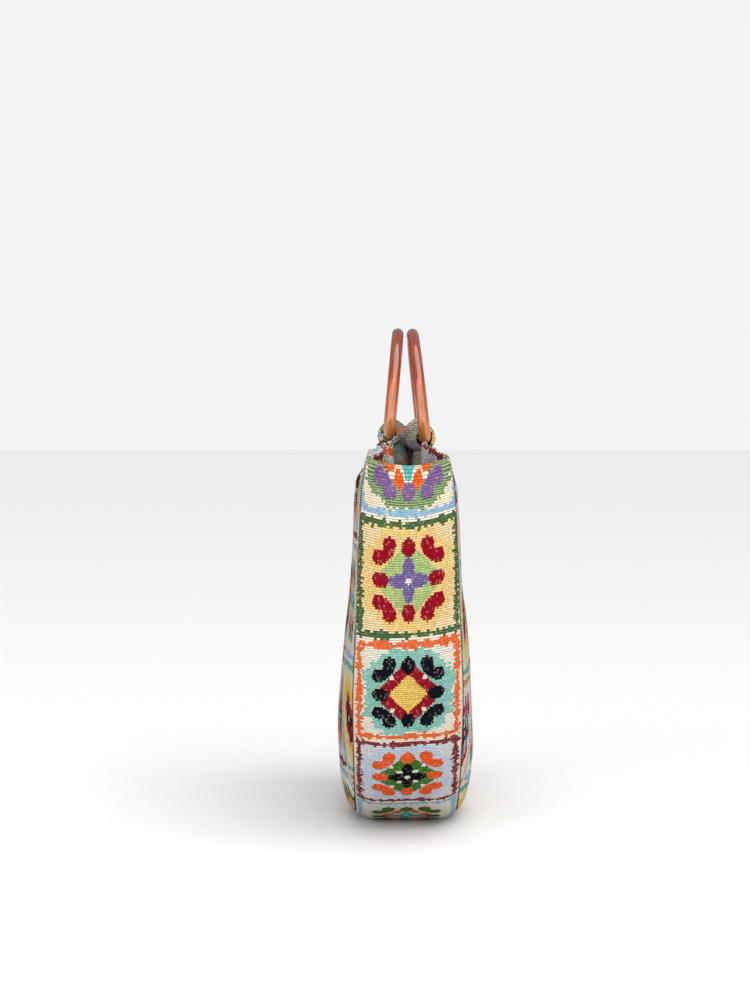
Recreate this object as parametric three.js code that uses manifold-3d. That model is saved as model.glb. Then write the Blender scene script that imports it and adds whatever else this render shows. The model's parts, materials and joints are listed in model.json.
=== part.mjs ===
// A soft bag of woven granny-square cloth, gathered on two wooden D handles.
// Millimetres, +Z up. X runs along the bag, from one side to the other, and Y from the
// front panel to the back panel. The bag stands on the floor at z = 0, with the origin
// under its middle.

import * as THREE from 'three';
import { mergeVertices } from 'three/addons/utils/BufferGeometryUtils.js';
import Module from 'manifold-3d';

const wasm = await Module();
wasm.setup();

// Driving dimensions of the cloth body.
const BAG_WIDTH = 464;            // across the sides at the widest level
const WIDEST_LEVEL = 225;         // height of that level
const SIDE_TOP = 322;             // height of the side strip's two hemmed ends
const LOWER_ROUNDNESS = 2.15;     // exponent of the lower half's outline, 2 is an ellipse
const UPPER_REACH = 250;          // height of the ellipse that the upper half follows
const BOTTOM_SETTLE = 6;          // how much of the round bottom the floor presses flat
const STRIP_WIDTH = 94;           // side strip, seam to seam, where it is widest
const STRIP_BULGE = 13;           // how far the strip's middle stands out from its seams
const PANEL_BULGE = 14;           // how far a panel's belly stands out from its seams
const WALL = 2;                   // thickness of the cloth
const SEAM_GAP = 0.3;             // clearance between the strip's edge and a panel

// Driving dimensions of the handles and of the casings that hold them.
const ROD_DIAMETER = 10.5;
const HANDLE_WIDTH = 174;         // outside of one limb to outside of the other
const HANDLE_HEIGHT = 103;        // underside of the bar to the top of the arch
const HANDLE_CORNER = 16;         // radius of the rod's middle at the two lower corners
const ARCH_ROUNDNESS = 2.25;      // exponent of the arch's outline
const BAR_LEVEL = 341.5;          // height of the two bars at the middle of the bag
const CASING_OVERRUN = 3.5;       // how far the casing runs past the bar's straight stretch
const CASING_SLACK = 1.9;         // room between the bar and the cloth round it
const CASING_TAIL = 0.22;         // how far the casing's seam hangs, share of its radius

// Each side's bar: its distance from the middle plane, the handle's inward lean, and the
// slant that its gathers hold it at. A plus slant lifts the end at +X.
const SIDES = [
  { name: 'front', sign: -1, barOffset: 15.2, lean: 5.2, slant: 1.5 },
  { name: 'back', sign: 1, barOffset: 16.5, lean: 6.2, slant: -1.7 },
];

// Gathers under the casings, and the looser folds of the free edges beside them.
const GATHER_COUNT = 4;
const GATHER_DEPTH = 2.4;
const GATHER_REACH = 46;          // how far down a gather has faded
const GATHER_FAN = 130;           // how far down the gathers have spread to twice their pitch
const CASING_RUFFLE = 0.5;
const EDGE_FOLD_DEPTH = 3;
const EDGE_FOLD_PITCH = 48;
const EDGE_FOLD_REACH = 26;
const NECK_DROP = 34;             // height over which the body draws in to the casing
const NECK_CURVE = 1.4;           // exponent of that draw, so that it leaves the casing upright
const LIFT_START = 0.78;          // share of the side's height where the top edge starts to rise

// The side strip along its height. level is a share of SIDE_TOP, width of STRIP_WIDTH and
// bulge of STRIP_BULGE. flat is the share of the half width that stays flat.
const STRIP_SECTIONS = [
  { level: 0.00, width: 0.960, bulge: 0.54, flat: 0.60 },
  { level: 0.15, width: 0.985, bulge: 0.58, flat: 0.50 },
  { level: 0.37, width: 1.000, bulge: 0.64, flat: 0.42 },
  { level: 0.55, width: 0.950, bulge: 0.72, flat: 0.36 },
  { level: 0.70, width: 0.905, bulge: 0.80, flat: 0.30 },
  { level: 0.93, width: 0.850, bulge: 1.00, flat: 0.26 },
  { level: 0.97, width: 0.800, bulge: 1.00, flat: 0.26 },
  { level: 1.00, width: 0.725, bulge: 0.92, flat: 0.26 },
];

// The panels' belly at the middle of the bag. level is a share of the height between the
// bottom seam and the side's top, bulge is a share of PANEL_BULGE.
const BELLY_SECTIONS = [
  { level: 0.000, bulge: 0.00 },
  { level: 0.013, bulge: 0.46 },
  { level: 0.048, bulge: 0.74 },
  { level: 0.100, bulge: 0.93 },
  { level: 0.180, bulge: 1.00 },
  { level: 0.250, bulge: 0.96 },
  { level: 0.350, bulge: 0.82 },
  { level: 0.450, bulge: 0.72 },
  { level: 0.660, bulge: 0.46 },
  { level: 0.860, bulge: 0.34 },
  { level: 1.000, bulge: 0.10 },
];

// How finely the forms are divided.
const SEAM_SPANS = 16;
const NECK_SPANS = 3;             // seam spans at the top that a panel divides again
const NECK_DIVISIONS = 4;
const BOTTOM_SPANS = 3;
const EDGE_SPANS = 3;
const CASING_SPANS = 16;
const FREE_EDGE_SPANS = 8;
const CASING_SIDES = 10;
const ROD_SIDES = 10;
const ROD_STEPS = 46;

const rodRadius = ROD_DIAMETER / 2;
const limbOffset = HANDLE_WIDTH / 2 - rodRadius;
const casingRadius = rodRadius + CASING_SLACK + WALL;
const casingHalf = limbOffset - HANDLE_CORNER + CASING_OVERRUN;
const gatherPitch = casingHalf * 2 / GATHER_COUNT;

const cloth = new THREE.MeshStandardMaterial({ color: 0xe6d6bb, roughness: 0.95, metalness: 0 });
const stripCloth = new THREE.MeshStandardMaterial({ color: 0xd9a25e, roughness: 0.95, metalness: 0 });
const wood = new THREE.MeshStandardMaterial({ color: 0x8f4a2c, roughness: 0.25, metalness: 0 });

function clamp01(value) {
  return Math.min(Math.max(value, 0), 1);
}

function smoothStep(value) {
  const t = clamp01(value);
  return t * t * (3 - 2 * t);
}

// A table's column at a level, on a smooth curve through the rows.
function columnAt(rows, column, level) {
  const last = rows.length - 1;
  let i = 0;
  while (i < last - 1 && rows[i + 1].level < level) i += 1;
  const slopeAt = (k) => {
    const below = rows[Math.max(k - 1, 0)];
    const above = rows[Math.min(k + 1, last)];
    return (above[column] - below[column]) / (above.level - below.level);
  };
  const span = rows[i + 1].level - rows[i].level;
  const t = clamp01((level - rows[i].level) / span);
  const t2 = t * t;
  const t3 = t2 * t;
  return rows[i][column] * (2 * t3 - 3 * t2 + 1)
    + slopeAt(i) * span * (t3 - 2 * t2 + t)
    + rows[i + 1][column] * (3 * t2 - 2 * t3)
    + slopeAt(i + 1) * span * (t3 - t2);
}

// The body's outline from the front: half of it, from the floor's edge at the bottom to the
// side's top. Below the widest level it is a superellipse, above it an ellipse.
function halfWidthAt(z) {
  const half = BAG_WIDTH / 2;
  if (z >= WIDEST_LEVEL) {
    return half * Math.sqrt(1 - ((z - WIDEST_LEVEL) / UPPER_REACH) ** 2);
  }
  const drop = (WIDEST_LEVEL - z) / (WIDEST_LEVEL + BOTTOM_SETTLE);
  return half * (1 - drop ** LOWER_ROUNDNESS) ** (1 / LOWER_ROUNDNESS);
}

// Points of that half outline, spaced evenly along it.
function outlinePoints() {
  const fine = [];
  const steps = 400;
  for (let i = 0; i <= steps; i += 1) {
    const share = i / steps;
    const z = SIDE_TOP * share ** 2.2;
    fine.push(new THREE.Vector2(halfWidthAt(z), z));
  }
  const path = new THREE.SplineCurve(fine);
  path.arcLengthDivisions = 2000;
  return path.getSpacedPoints(SEAM_SPANS);
}

// The strip's sections from the edge of the flat bottom up to the side's top: the place of
// the strip's middle, the direction that it faces, and its width and bulge there.
function sideSections() {
  const points = outlinePoints();
  const last = points.length - 1;
  return points.map((point, i) => {
    const before = points[Math.max(i - 1, 0)];
    const after = points[Math.min(i + 1, last)];
    const run = new THREE.Vector2().subVectors(after, before).normalize();
    const facing = i === 0 ? new THREE.Vector2(0, -1) : new THREE.Vector2(run.y, -run.x);
    const level = point.y / SIDE_TOP;
    const bulge = STRIP_BULGE * columnAt(STRIP_SECTIONS, 'bulge', level);
    return {
      middle: point,
      facing,
      halfWidth: STRIP_WIDTH / 2 * columnAt(STRIP_SECTIONS, 'width', level),
      bulge,
      flat: columnAt(STRIP_SECTIONS, 'flat', level),
      seam: new THREE.Vector2(point.x - facing.x * bulge, i === last ? SIDE_TOP : point.y - facing.y * bulge),
    };
  });
}

const sections = sideSections();
const bottomSeam = sections[0].seam.y;

// A closed solid from a grid of outer points: the inner face lies one wall inside, and
// a rim joins the two. turned is true where the grid's own winding faces inwards.
function sheetSolid(grid, turned) {
  const rows = grid.length;
  const columns = grid[0].length;
  const at = (r, c) => grid[Math.min(Math.max(r, 0), rows - 1)][Math.min(Math.max(c, 0), columns - 1)];
  const positions = [];
  const inner = [];
  for (let r = 0; r < rows; r += 1) {
    for (let c = 0; c < columns; c += 1) {
      const along = new THREE.Vector3().subVectors(at(r + 1, c), at(r - 1, c));
      const across = new THREE.Vector3().subVectors(at(r, c + 1), at(r, c - 1));
      const normal = new THREE.Vector3().crossVectors(across, along).normalize();
      if (turned) normal.negate();
      positions.push(...at(r, c).toArray());
      inner.push(...at(r, c).clone().addScaledVector(normal, -WALL).toArray());
    }
  }
  positions.push(...inner);
  const offset = rows * columns;
  const index = [];
  const quad = (a, b, c, d) => {
    if (turned) index.push(a, c, b, a, d, c);
    else index.push(a, b, c, a, c, d);
  };
  const id = (r, c) => r * columns + c;
  for (let r = 0; r < rows - 1; r += 1) {
    for (let c = 0; c < columns - 1; c += 1) {
      quad(id(r, c), id(r, c + 1), id(r + 1, c + 1), id(r + 1, c));
      quad(id(r, c) + offset, id(r + 1, c) + offset, id(r + 1, c + 1) + offset, id(r, c + 1) + offset);
    }
  }
  const rim = (a, b) => quad(b, a, a + offset, b + offset);
  for (let c = 0; c < columns - 1; c += 1) {
    rim(id(0, c), id(0, c + 1));
    rim(id(rows - 1, c + 1), id(rows - 1, c));
  }
  for (let r = 0; r < rows - 1; r += 1) {
    rim(id(r + 1, 0), id(r, 0));
    rim(id(r, columns - 1), id(r + 1, columns - 1));
  }
  const geometry = new THREE.BufferGeometry();
  geometry.setAttribute('position', new THREE.Float32BufferAttribute(positions, 3));
  geometry.setIndex(index);
  return geometry;
}

// Shares of the strip's half width where it is divided: the flat middle, then the round edge.
function stripShares(flat) {
  const shares = [0];
  for (let i = 0; i <= EDGE_SPANS; i += 1) {
    shares.push(flat + (1 - flat) * i / EDGE_SPANS);
  }
  return [...shares.slice(1).reverse().map((share) => -share), ...shares];
}

// One row of the strip at a section. The two ends are cut level at the side's top.
function stripRow(section, side, isEnd) {
  const half = section.halfWidth - WALL - SEAM_GAP;
  return stripShares(section.flat).map((share) => {
    const roundness = clamp01((Math.abs(share) - section.flat) / (1 - section.flat));
    const drop = section.bulge * roundness ** 2;
    const x = section.middle.x - section.facing.x * drop;
    const z = isEnd ? SIDE_TOP : section.middle.y - section.facing.y * drop;
    return new THREE.Vector3(side * x, share * half, z);
  });
}

// The side strip: down one side, along the bottom and up the other side.
function gussetGeometry() {
  const grid = [];
  const top = sections.length - 1;
  for (let i = top; i >= 0; i -= 1) {
    grid.push(stripRow(sections[i], 1, i === top));
  }
  for (let i = 1; i < BOTTOM_SPANS * 2; i += 1) {
    const share = 1 - i / BOTTOM_SPANS;
    const row = stripRow(sections[0], 1, false);
    grid.push(row.map((point) => new THREE.Vector3(point.x * share, point.y, point.z)));
  }
  for (let i = 0; i <= top; i += 1) {
    grid.push(stripRow(sections[i], -1, i === top));
  }
  return sheetSolid(grid, true);
}

// The bar's middle at a place along the bag: its distance from the middle plane and height.
function barAt(side, x) {
  return { offset: side.barOffset, z: BAR_LEVEL + x * Math.tan(THREE.MathUtils.degToRad(side.slant)) };
}

// Height of the top edge of a panel: under the casing in the middle, and falling beside it
// to the side's top.
function topEdgeAt(side, x, reach) {
  const inCasing = Math.min(Math.abs(x), casingHalf) * Math.sign(x);
  const underCasing = barAt(side, inCasing).z - casingRadius * (1 + CASING_TAIL) + WALL / 2;
  const out = smoothStep((Math.abs(x) - casingHalf) / (reach - casingHalf));
  return underCasing + (SIDE_TOP - underCasing) * out;
}

// How far the gathers and the free edge's folds move the cloth, below the top edge by depth.
function foldAt(x, depth) {
  const spread = 1 + depth / GATHER_FAN;
  const along = x / spread;
  const gathered = 1 - smoothStep((Math.abs(along) - casingHalf) / gatherPitch);
  const gather = GATHER_DEPTH * gathered * Math.cos(2 * Math.PI * along / gatherPitch);
  const beside = Math.abs(x) - casingHalf;
  const free = smoothStep(beside / EDGE_FOLD_PITCH);
  const wave = EDGE_FOLD_DEPTH * free * Math.sin(2 * Math.PI * beside / EDGE_FOLD_PITCH);
  return gather * Math.exp(-((depth / GATHER_REACH) ** 2)) * smoothStep(depth / WALL / 2)
    + wave * Math.exp(-((depth / EDGE_FOLD_REACH) ** 2));
}

// Shares of the row's half length where a panel is divided: fine under the casing.
function panelShares(reach) {
  const casingShare = casingHalf / reach;
  const shares = [];
  for (let i = 0; i <= CASING_SPANS; i += 1) {
    shares.push(casingShare * (2 * i / CASING_SPANS - 1));
  }
  for (let i = 1; i <= FREE_EDGE_SPANS; i += 1) {
    const share = casingShare + (1 - casingShare) * i / FREE_EDGE_SPANS;
    shares.push(share);
    shares.unshift(-share);
  }
  return shares;
}

// The seam's points that a panel has a row at. Between two sections of the strip they lie on
// the straight stretch that the strip's edge takes there.
function panelRows() {
  const rows = [];
  for (let i = 0; i < SEAM_SPANS; i += 1) {
    const parts = i < SEAM_SPANS - NECK_SPANS ? 1 : NECK_DIVISIONS;
    const below = sections[i];
    const above = sections[i + 1];
    for (let k = 0; k < parts; k += 1) {
      rows.push({
        seam: below.seam.clone().lerp(above.seam, k / parts),
        halfWidth: THREE.MathUtils.lerp(below.halfWidth, above.halfWidth, k / parts),
      });
    }
  }
  rows.push(sections[SEAM_SPANS]);
  return rows;
}

// A panel's outer face, row by row from the bottom seam to the top edge.
function panelGrid(side) {
  const reach = sections[SEAM_SPANS].seam.x;
  const neckOffset = side.barOffset + WALL / 2;
  return panelRows().map((section) => {
    const level = (section.seam.y - bottomSeam) / (SIDE_TOP - bottomSeam);
    const lift = smoothStep((section.seam.y / SIDE_TOP - LIFT_START) / (1 - LIFT_START));
    const belly = PANEL_BULGE * columnAt(BELLY_SECTIONS, 'bulge', level);
    return panelShares(reach).map((share) => {
      const x = share * section.seam.x;
      const topEdge = topEdgeAt(side, x, reach);
      const z = section.seam.y + (topEdge - SIDE_TOP) * lift;
      const depth = Math.max(topEdge - z, 0);
      const body = section.halfWidth + belly * (1 - Math.abs(share) ** 2.6);
      const outwards = smoothStep((Math.abs(x) - casingHalf) / (reach - casingHalf));
      const neck = neckOffset + (section.halfWidth - neckOffset) * outwards;
      const drawn = Math.sin(Math.PI / 2 * clamp01(depth / NECK_DROP)) ** NECK_CURVE;
      const edge = 1 - Math.abs(share) ** 8;
      const offset = neck + (body - neck) * drawn + foldAt(x, depth) * edge;
      return new THREE.Vector3(x, side.sign * offset, z);
    });
  });
}

// The casing: a tube of cloth round the bar, open at both ends, with its seam hanging below.
function casingGeometry(side) {
  const positions = [];
  const index = [];
  for (let i = 0; i <= CASING_SPANS; i += 1) {
    const x = casingHalf * (2 * i / CASING_SPANS - 1);
    const bar = barAt(side, x);
    const ruffle = CASING_RUFFLE * Math.cos(2 * Math.PI * x / gatherPitch);
    for (const wallInside of [0, WALL]) {
      for (let k = 0; k < CASING_SIDES; k += 1) {
        const angle = 2 * Math.PI * k / CASING_SIDES - Math.PI / 2;
        const tail = 1 + CASING_TAIL * Math.max(-Math.sin(angle), 0) ** 4;
        const radius = casingRadius * tail + ruffle - wallInside;
        positions.push(x, side.sign * bar.offset + radius * Math.cos(angle), bar.z + radius * Math.sin(angle));
      }
    }
  }
  const id = (i, layer, k) => (i * 2 + layer) * CASING_SIDES + k % CASING_SIDES;
  const quad = (a, b, c, d) => index.push(a, b, c, a, c, d);
  for (let k = 0; k < CASING_SIDES; k += 1) {
    for (let i = 0; i < CASING_SPANS; i += 1) {
      quad(id(i, 0, k), id(i, 0, k + 1), id(i + 1, 0, k + 1), id(i + 1, 0, k));
      quad(id(i, 1, k), id(i + 1, 1, k), id(i + 1, 1, k + 1), id(i, 1, k + 1));
    }
    quad(id(0, 1, k), id(0, 1, k + 1), id(0, 0, k + 1), id(0, 0, k));
    quad(id(CASING_SPANS, 0, k), id(CASING_SPANS, 0, k + 1), id(CASING_SPANS, 1, k + 1), id(CASING_SPANS, 1, k));
  }
  const geometry = new THREE.BufferGeometry();
  geometry.setAttribute('position', new THREE.Float32BufferAttribute(positions, 3));
  geometry.setIndex(index);
  return geometry;
}

function toSolid(geometry) {
  const merged = mergeVertices(geometry);
  return new wasm.Manifold(new wasm.Mesh({
    numProp: 3,
    vertProperties: new Float32Array(merged.attributes.position.array),
    triVerts: new Uint32Array(merged.index.array),
  }));
}

function toGeometry(solid) {
  const mesh = solid.getMesh();
  const geometry = new THREE.BufferGeometry();
  geometry.setAttribute('position', new THREE.Float32BufferAttribute(mesh.vertProperties, 3));
  geometry.setIndex(Array.from(mesh.triVerts));
  return geometry;
}

// A panel with its casing: one piece of cloth, folded over the bar and sewn to itself.
function panelMesh(side) {
  const sheet = toSolid(sheetSolid(panelGrid(side), side.sign > 0));
  const casing = toSolid(casingGeometry(side));
  const mesh = new THREE.Mesh(toGeometry(sheet.add(casing)), cloth);
  mesh.name = `${side.name}_panel`;
  return mesh;
}

function gussetMesh() {
  const mesh = new THREE.Mesh(gussetGeometry(), stripCloth);
  mesh.name = 'gusset';
  return mesh;
}

// The rod's middle line: a straight bar, two round corners, and an arch over them.
function handlePath() {
  const half = limbOffset;
  const top = HANDLE_HEIGHT - ROD_DIAMETER;
  const points = [];
  const barSpans = 8;
  for (let i = 0; i < barSpans; i += 1) {
    points.push(new THREE.Vector3((half - HANDLE_CORNER) * (2 * i / barSpans - 1), 0, 0));
  }
  const cornerSpans = 4;
  for (let i = 0; i < cornerSpans; i += 1) {
    const angle = Math.PI / 2 * i / cornerSpans;
    points.push(new THREE.Vector3(
      half - HANDLE_CORNER * (1 - Math.sin(angle)), 0, HANDLE_CORNER * (1 - Math.cos(angle))));
  }
  const archSpans = 24;
  for (let i = 0; i <= archSpans; i += 1) {
    const angle = Math.PI * i / archSpans;
    const across = Math.abs(Math.cos(angle)) ** (2 / ARCH_ROUNDNESS) * Math.sign(Math.cos(angle));
    const up = Math.sin(angle) ** (2 / ARCH_ROUNDNESS);
    points.push(new THREE.Vector3(half * across, 0, HANDLE_CORNER + (top - HANDLE_CORNER) * up));
  }
  for (let i = 1; i < cornerSpans; i += 1) {
    const angle = Math.PI / 2 * (1 - i / cornerSpans);
    points.push(new THREE.Vector3(
      -half + HANDLE_CORNER * (1 - Math.sin(angle)), 0, HANDLE_CORNER * (1 - Math.cos(angle))));
  }
  return new THREE.CatmullRomCurve3(points, true, 'centripetal');
}

// A handle in a group that stands at the middle of its bar and leans inwards.
function handleGroup(side) {
  const geometry = new THREE.TubeGeometry(handlePath(), ROD_STEPS, rodRadius, ROD_SIDES, true);
  const mesh = new THREE.Mesh(geometry, wood);
  mesh.name = `${side.name}_handle`;
  const group = new THREE.Group();
  const bar = barAt(side, 0);
  const lean = THREE.MathUtils.degToRad(side.lean) * side.sign;
  const slant = THREE.MathUtils.degToRad(-side.slant);
  group.position.set(0, side.sign * bar.offset, bar.z);
  group.rotation.set(lean, slant, 0, 'YXZ');
  group.add(mesh);
  return group;
}

const bag = new THREE.Group();
bag.add(gussetMesh());
for (const side of SIDES) {
  bag.add(panelMesh(side));
  bag.add(handleGroup(side));
}

export default bag;
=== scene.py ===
"""A bag of woven granny-square cloth on two wooden D handles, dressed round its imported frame.

Lengths are millimetres until a mesh is written, and metres from there on. X runs along the
bag, Y from the front panel to the back panel, and Z up from the floor.
"""

import json
import math
from functools import partial

import bmesh
import bpy
from mathutils import Matrix, Vector, noise


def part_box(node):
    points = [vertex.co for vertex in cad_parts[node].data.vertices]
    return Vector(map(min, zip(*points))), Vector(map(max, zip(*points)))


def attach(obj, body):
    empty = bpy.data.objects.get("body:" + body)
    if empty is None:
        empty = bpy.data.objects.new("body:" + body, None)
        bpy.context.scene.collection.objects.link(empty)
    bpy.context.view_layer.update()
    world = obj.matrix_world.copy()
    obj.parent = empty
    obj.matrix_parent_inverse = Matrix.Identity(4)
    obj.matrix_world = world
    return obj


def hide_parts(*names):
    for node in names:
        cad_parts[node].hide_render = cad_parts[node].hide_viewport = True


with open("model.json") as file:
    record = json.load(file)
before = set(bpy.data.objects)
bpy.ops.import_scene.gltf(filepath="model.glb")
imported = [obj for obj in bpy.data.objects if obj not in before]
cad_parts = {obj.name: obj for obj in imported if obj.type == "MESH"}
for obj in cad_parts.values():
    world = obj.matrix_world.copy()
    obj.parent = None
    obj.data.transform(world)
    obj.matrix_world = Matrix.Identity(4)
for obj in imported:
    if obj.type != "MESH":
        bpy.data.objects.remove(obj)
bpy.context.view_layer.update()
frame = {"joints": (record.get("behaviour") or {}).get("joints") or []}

bl_info = {
    "name": "Granny square bag",
    "version": (1, 0, 0),
    "blender": (4, 5, 0),
    "location": "3D View > Sidebar > Bag",
    "description": "Cloth, casings, handles and stage of a woven bag on wooden D handles",
    "category": "Object",
}

MM = 0.001

# What the frame says, in millimetres.
strip_box = [corner * 1000 for corner in map(Vector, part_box("gusset"))]
HALF_WIDTH = strip_box[1].x
SIDE_TOP = strip_box[1].z
BARS = {}
for joint in frame["joints"]:
    axis = Vector(joint["axis"])
    side_name = joint["name"].split("_")[0]
    BARS[side_name] = {
        "sign": -1 if side_name == "front" else 1,
        "offset": abs(joint["pos_m"][1]) * 1000,
        "level": joint["pos_m"][2] * 1000,
        "rise": axis.z / axis.x,
    }

# The body's outline from the front, as in the part's source.
WIDEST_LEVEL = 225
LOWER_ROUNDNESS = 2.15
UPPER_REACH = 250
BOTTOM_SETTLE = 6
STRIP_WIDTH = 94
STRIP_BULGE = 13
PANEL_BULGE = 14
NECK_DROP = 34
NECK_CURVE = 1.4
LIFT_START = 0.78

# level, width, bulge, flat: shares of the side's height, the strip's width and bulge, and
# its half width.
STRIP_SECTIONS = (
    (0.00, 0.960, 0.54, 0.60),
    (0.15, 0.985, 0.58, 0.50),
    (0.37, 1.000, 0.64, 0.42),
    (0.55, 0.950, 0.72, 0.36),
    (0.70, 0.905, 0.80, 0.30),
    (0.93, 0.850, 1.00, 0.26),
    (0.97, 0.800, 1.00, 0.26),
    (1.00, 0.725, 0.92, 0.26),
)

# level, bulge: shares of the seam's height and of the panel's bulge.
BELLY_SECTIONS = (
    (0.000, 0.00),
    (0.013, 0.46),
    (0.048, 0.74),
    (0.100, 0.93),
    (0.180, 1.00),
    (0.250, 0.96),
    (0.350, 0.82),
    (0.450, 0.72),
    (0.660, 0.46),
    (0.860, 0.34),
    (1.000, 0.10),
)

# Handles and casings.
ROD_RADIUS = 5.25
HANDLE_WIDTH = 174
HANDLE_HEIGHT = 103
HANDLE_CORNER = 16
ARCH_ROUNDNESS = 2.25
HANDLE_LEANS = {"front": 5.2, "back": 6.2}
LIMB_OFFSET = HANDLE_WIDTH / 2 - ROD_RADIUS
CASING_HALF = LIMB_OFFSET - HANDLE_CORNER + 3.5
WALL = 2
CASING_RADIUS = ROD_RADIUS + 1.9 + WALL
CASING_TAIL = 0.22
CASING_START = math.radians(-84)
CASING_END = math.radians(262)
CASING_HEM = 20
# How far the casing's inner side is greyed: painted shade inside the bag's mouth.
MOUTH_SHADE_AMOUNT = 0.60
ROD_CLEARANCE = 1.0
FREE_HEM = 17
FOLD_RADIUS = 2.1

# The side strip's free ends: their corners stand up, and the middle sags between them.
TOP_CORNER = 3.5
TOP_CORNER_CURVE = 5
TOP_DIP = 4.0
TOP_REACH = 60

# The cloth's weave: one square of the pattern, and one cell of the chart.
SQUARE_WIDTH = 94
SQUARE_HEIGHT = 100
CELL_WIDTH = 1.3
RIB_PITCH = 2.0
PANEL_ROW_OFFSETS = {"front": 18.4, "back": 31.0}
PANEL_COLUMN_RATE = 1.055
PANEL_SHIFTS = {"front": -1, "back": 0}
CLOTH_MAP = "cloth_mm"
# The attribute that carries the painted shade inside the mouth.
MOUTH_SHADE_MAP = "casing_shade"
SEAM_MAP = "seam_mm"
NO_SEAM = 99.0

# The colourways, in the order in which they follow each other down the side strip.
COLOURWAYS = {
    "border": ("#8ab6d2", "#36602a", "#ee6420", "#7c0a1c", "#8ab6d2", "#5aa896", "#c98a4a"),
    "ring": ("#4c8236", "#efc25e", "#5abcae", "#b4cde4", "#dadcc6", "#e6d28c", "#d8dfe0"),
    "ground": ("#efe0b4", "#efc25e", "#e2e4d2", "#b6cee4", "#dfe6e2", "#cfe0d4", "#f0dcb8"),
    "outer": ("#826394", "#9c1226", "#15171f", "#ee5e2a", "#4c6434", "#ecc44c", "#bc2036"),
    "inner": ("#ee6224", "#aac07a", "#9c1628", "#447530", "#ee6224", "#b41a2c", "#2f5fa4"),
    "centre": ("#50bab8", "#75639a", "#ecc664", "#111114", "#50bab8", "#16161c", "#1c2340"),
}
CREAM = "#faf0e0"
CREAM_SHADE = "#e8d6c2"
# The grey of the painted shade inside the mouth.
MOUTH_SHADE_GREY = "#a3a194"
SEAM_SHADE = "#5c4030"
REVERSE_YARN = "#b0a898"


def linear(code):
    """An sRGB hex colour as Blender's linear RGBA."""
    parts = [int(code[i:i + 2], 16) / 255 for i in (1, 3, 5)]
    return (*(c / 12.92 if c <= 0.04045 else ((c + 0.055) / 1.055) ** 2.4 for c in parts), 1)


def clamp01(value):
    return min(max(value, 0.0), 1.0)


def smooth_step(value):
    t = clamp01(value)
    return t * t * (3 - 2 * t)


def column_at(rows, column, level):
    """A table's column at a level, on a smooth curve through the rows."""
    last = len(rows) - 1
    i = 0
    while i < last - 1 and rows[i + 1][0] < level:
        i += 1

    def slope_at(k):
        below = rows[max(k - 1, 0)]
        above = rows[min(k + 1, last)]
        return (above[column] - below[column]) / (above[0] - below[0])

    span = rows[i + 1][0] - rows[i][0]
    t = clamp01((level - rows[i][0]) / span)
    return (rows[i][column] * (2 * t**3 - 3 * t**2 + 1)
            + slope_at(i) * span * (t**3 - 2 * t**2 + t)
            + rows[i + 1][column] * (3 * t**2 - 2 * t**3)
            + slope_at(i + 1) * span * (t**3 - t**2))


def half_width_at(z):
    """Half the width of the body's outline at a height."""
    if z >= WIDEST_LEVEL:
        return HALF_WIDTH * math.sqrt(1 - ((z - WIDEST_LEVEL) / UPPER_REACH) ** 2)
    drop = (WIDEST_LEVEL - z) / (WIDEST_LEVEL + BOTTOM_SETTLE)
    return HALF_WIDTH * (1 - drop**LOWER_ROUNDNESS) ** (1 / LOWER_ROUNDNESS)


def trace_outline(steps=900):
    """Half the outline from the edge of the flat bottom up: rows of length, x, z."""
    rows = []
    length = half_width_at(0)
    for i in range(steps + 1):
        z = SIDE_TOP * (i / steps) ** 2.2
        x = half_width_at(z)
        if rows:
            length += math.dist((x, z), rows[-1][1:])
        rows.append((length, x, z))
    return rows


OUTLINE = trace_outline()
FLAT_HALF = OUTLINE[0][0]
OUTLINE_LENGTH = OUTLINE[-1][0]


def outline_point(length):
    """The outline at a length from the bottom's middle, which is flat at first."""
    if length <= FLAT_HALF:
        return Vector((length, 0))
    low, high = 0, len(OUTLINE) - 1
    while high - low > 1:
        middle = (low + high) // 2
        if OUTLINE[middle][0] <= length:
            low = middle
        else:
            high = middle
    below, above = OUTLINE[low], OUTLINE[high]
    t = clamp01((length - below[0]) / (above[0] - below[0]))
    return Vector(below[1:]).lerp(Vector(above[1:]), t)


def section_at(length):
    """The side strip's section: its middle, facing, half width, bulge, flat share and seam."""
    reach = 7
    middle = outline_point(length)
    run = outline_point(min(length + reach, OUTLINE_LENGTH)) - outline_point(max(length - reach, 0))
    facing = Vector((run.y, -run.x)).normalized()
    if length <= FLAT_HALF:
        facing = Vector((0, -1))
    level = middle.y / SIDE_TOP
    bulge = STRIP_BULGE * column_at(STRIP_SECTIONS, 2, level)
    seam = middle - facing * bulge
    if length > OUTLINE_LENGTH - reach:
        seam.y += (SIDE_TOP - seam.y) * smooth_step(1 - (OUTLINE_LENGTH - length) / reach)
    return {
        "middle": middle,
        "facing": facing,
        "half": STRIP_WIDTH / 2 * column_at(STRIP_SECTIONS, 1, level),
        "bulge": bulge,
        "flat": column_at(STRIP_SECTIONS, 3, level),
        "seam": seam,
    }


SEAM_ROLL = 2.6
SEAM_DEPTH = 1.3
SEAM_INWARDS = 0.8
BOTTOM_SEAM = section_at(FLAT_HALF)["seam"].y
SEAM_REACH = section_at(OUTLINE_LENGTH)["seam"].x


def seam_roll(distance):
    """How far the cloth has turned into the seam, at a distance from it."""
    return SEAM_DEPTH * (1 - clamp01(distance / SEAM_ROLL)) ** 2


def new_piece(name, mesh, materials, body, replaced=()):
    """Makes an object of a finished mesh and says what it is in the frame."""
    piece = bpy.data.objects.new(name, mesh)
    bpy.context.scene.collection.objects.link(piece)
    for material in materials:
        mesh.materials.append(material)
    mesh.polygons.foreach_set("use_smooth", [True] * len(mesh.polygons))
    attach(piece, body)
    if replaced:
        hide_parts(*replaced)
    return piece


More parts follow.
